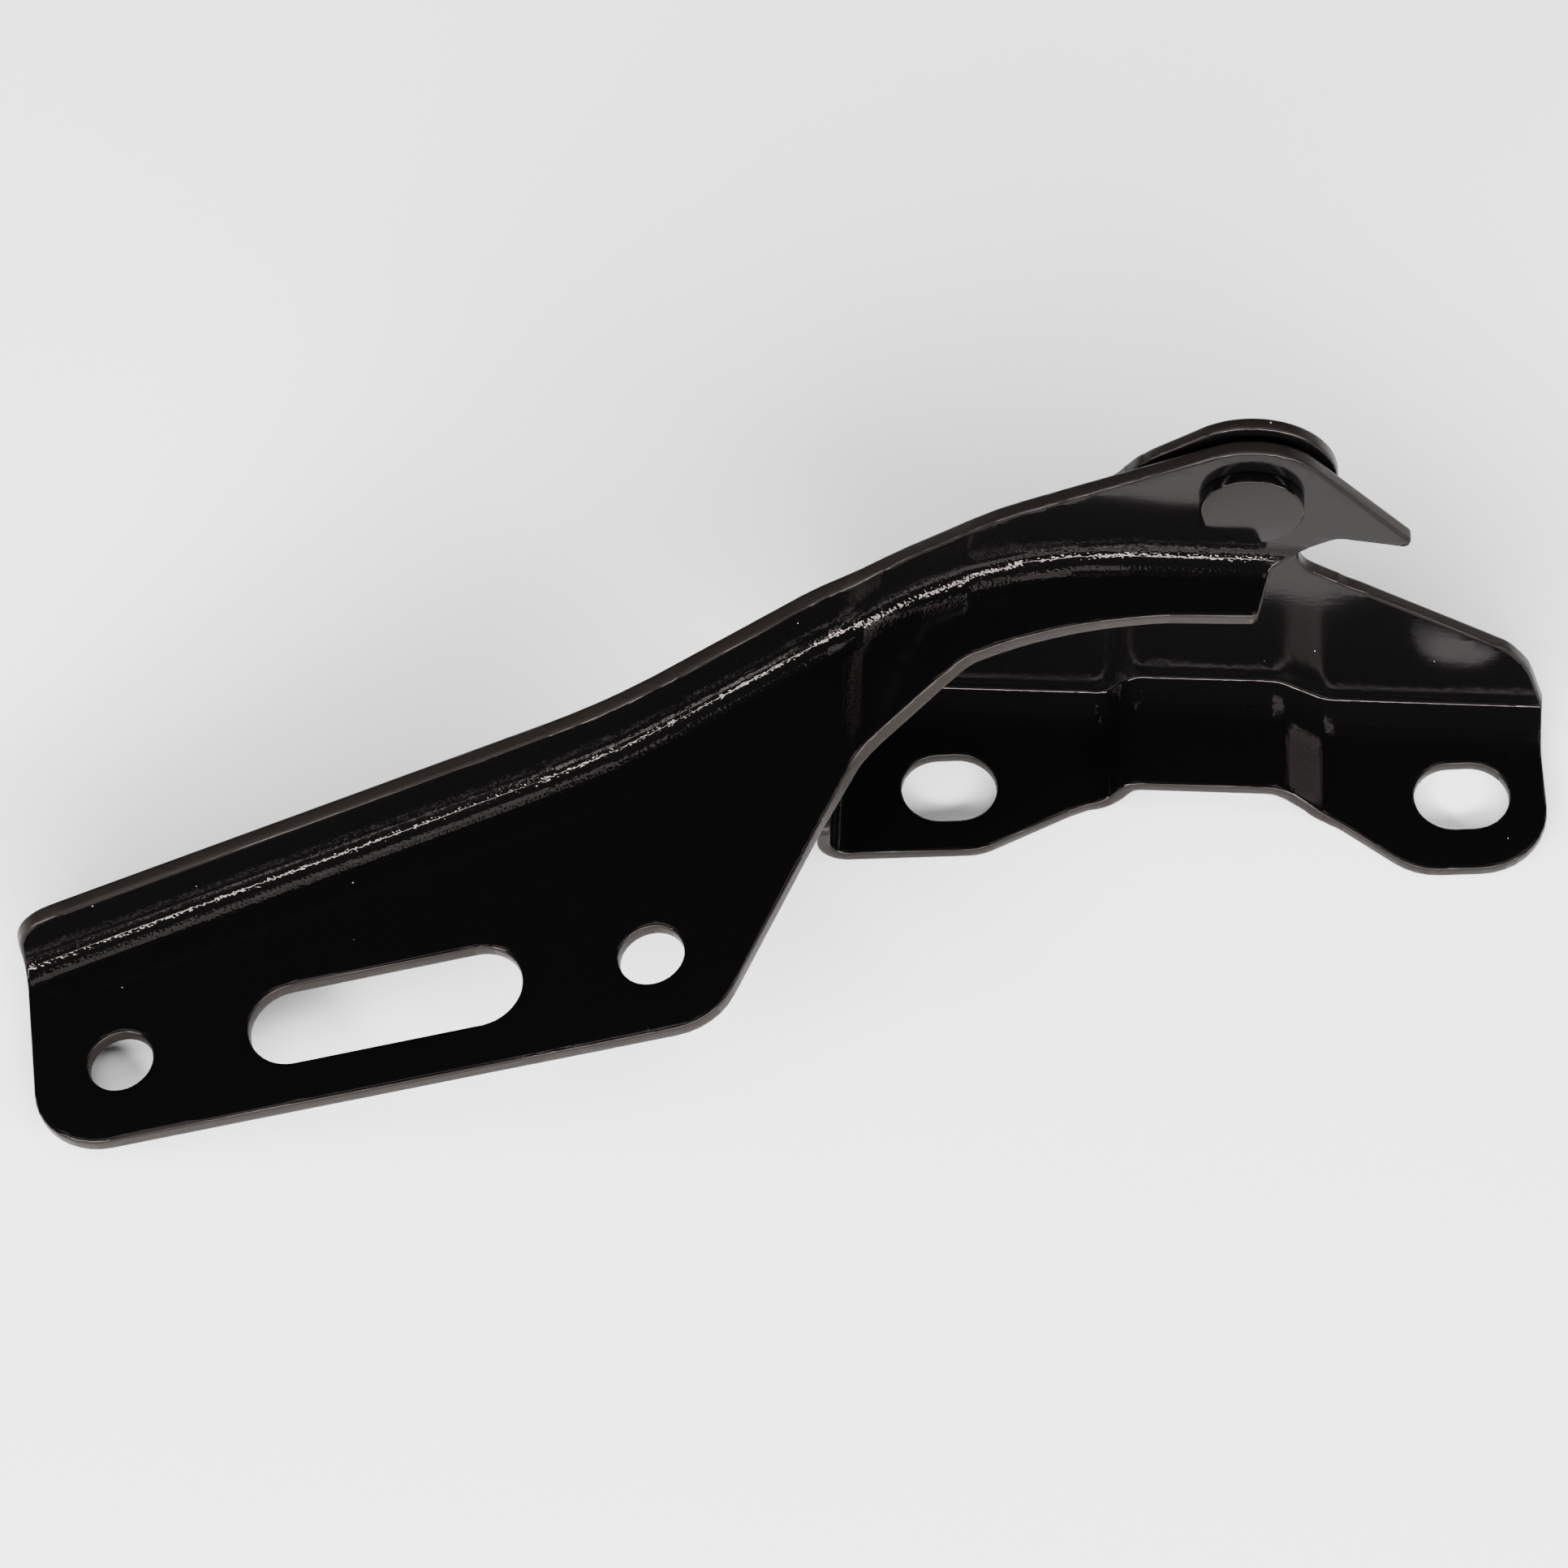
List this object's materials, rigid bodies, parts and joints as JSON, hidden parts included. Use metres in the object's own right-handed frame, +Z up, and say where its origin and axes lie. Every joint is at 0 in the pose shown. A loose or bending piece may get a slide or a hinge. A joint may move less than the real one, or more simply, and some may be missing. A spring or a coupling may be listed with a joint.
{
  "type": "bonnet hinge",
  "caption": "Bonnet hinge of folded sheet-steel pressings: a gooseneck arm with a slotted bonnet pad swings on a riveted pivot in front of a body bracket with slotted feet",
  "frame": {"origin": "centre of the bounding box at its lowest level, which is the seat of the body bracket's feet", "axes": "+X towards the rear of the car along the hinge, +Y through the pivot from the arm to the bracket, +Z up, square to the bracket's seat"},
  "size_m": [0.259, 0.1036, 0.0832],
  "materials": {
    "arm_paint": "gloss black electrocoat with fine orange peel",
    "bracket_paint": "gloss black electrocoat with fine orange peel",
    "rivet_paint": "gloss black electrocoat",
    "bush_lining": "matte sintered bronze",
    "washer_steel": "satin zinc plate",
    "tail_washer_paint": "gloss black electrocoat"
  },
  "bodies": {
    "bracket": {"body_bracket": "bracket_paint", "pivot_rivet": "rivet_paint", "thrust_washer": "washer_steel", "tail_washer": "tail_washer_paint"},
    "arm": {"bonnet_arm": "arm_paint", "pivot_bush": "bush_lining"}
  },
  "joints": [
    {"name": "bonnet_pivot", "type": "hinge", "parent": "bracket", "child": "arm", "pos_m": [0.07517, 0.04123, 0.0689], "axis": [0, 1, 0], "range_deg": [-10, 60]}
  ]
}
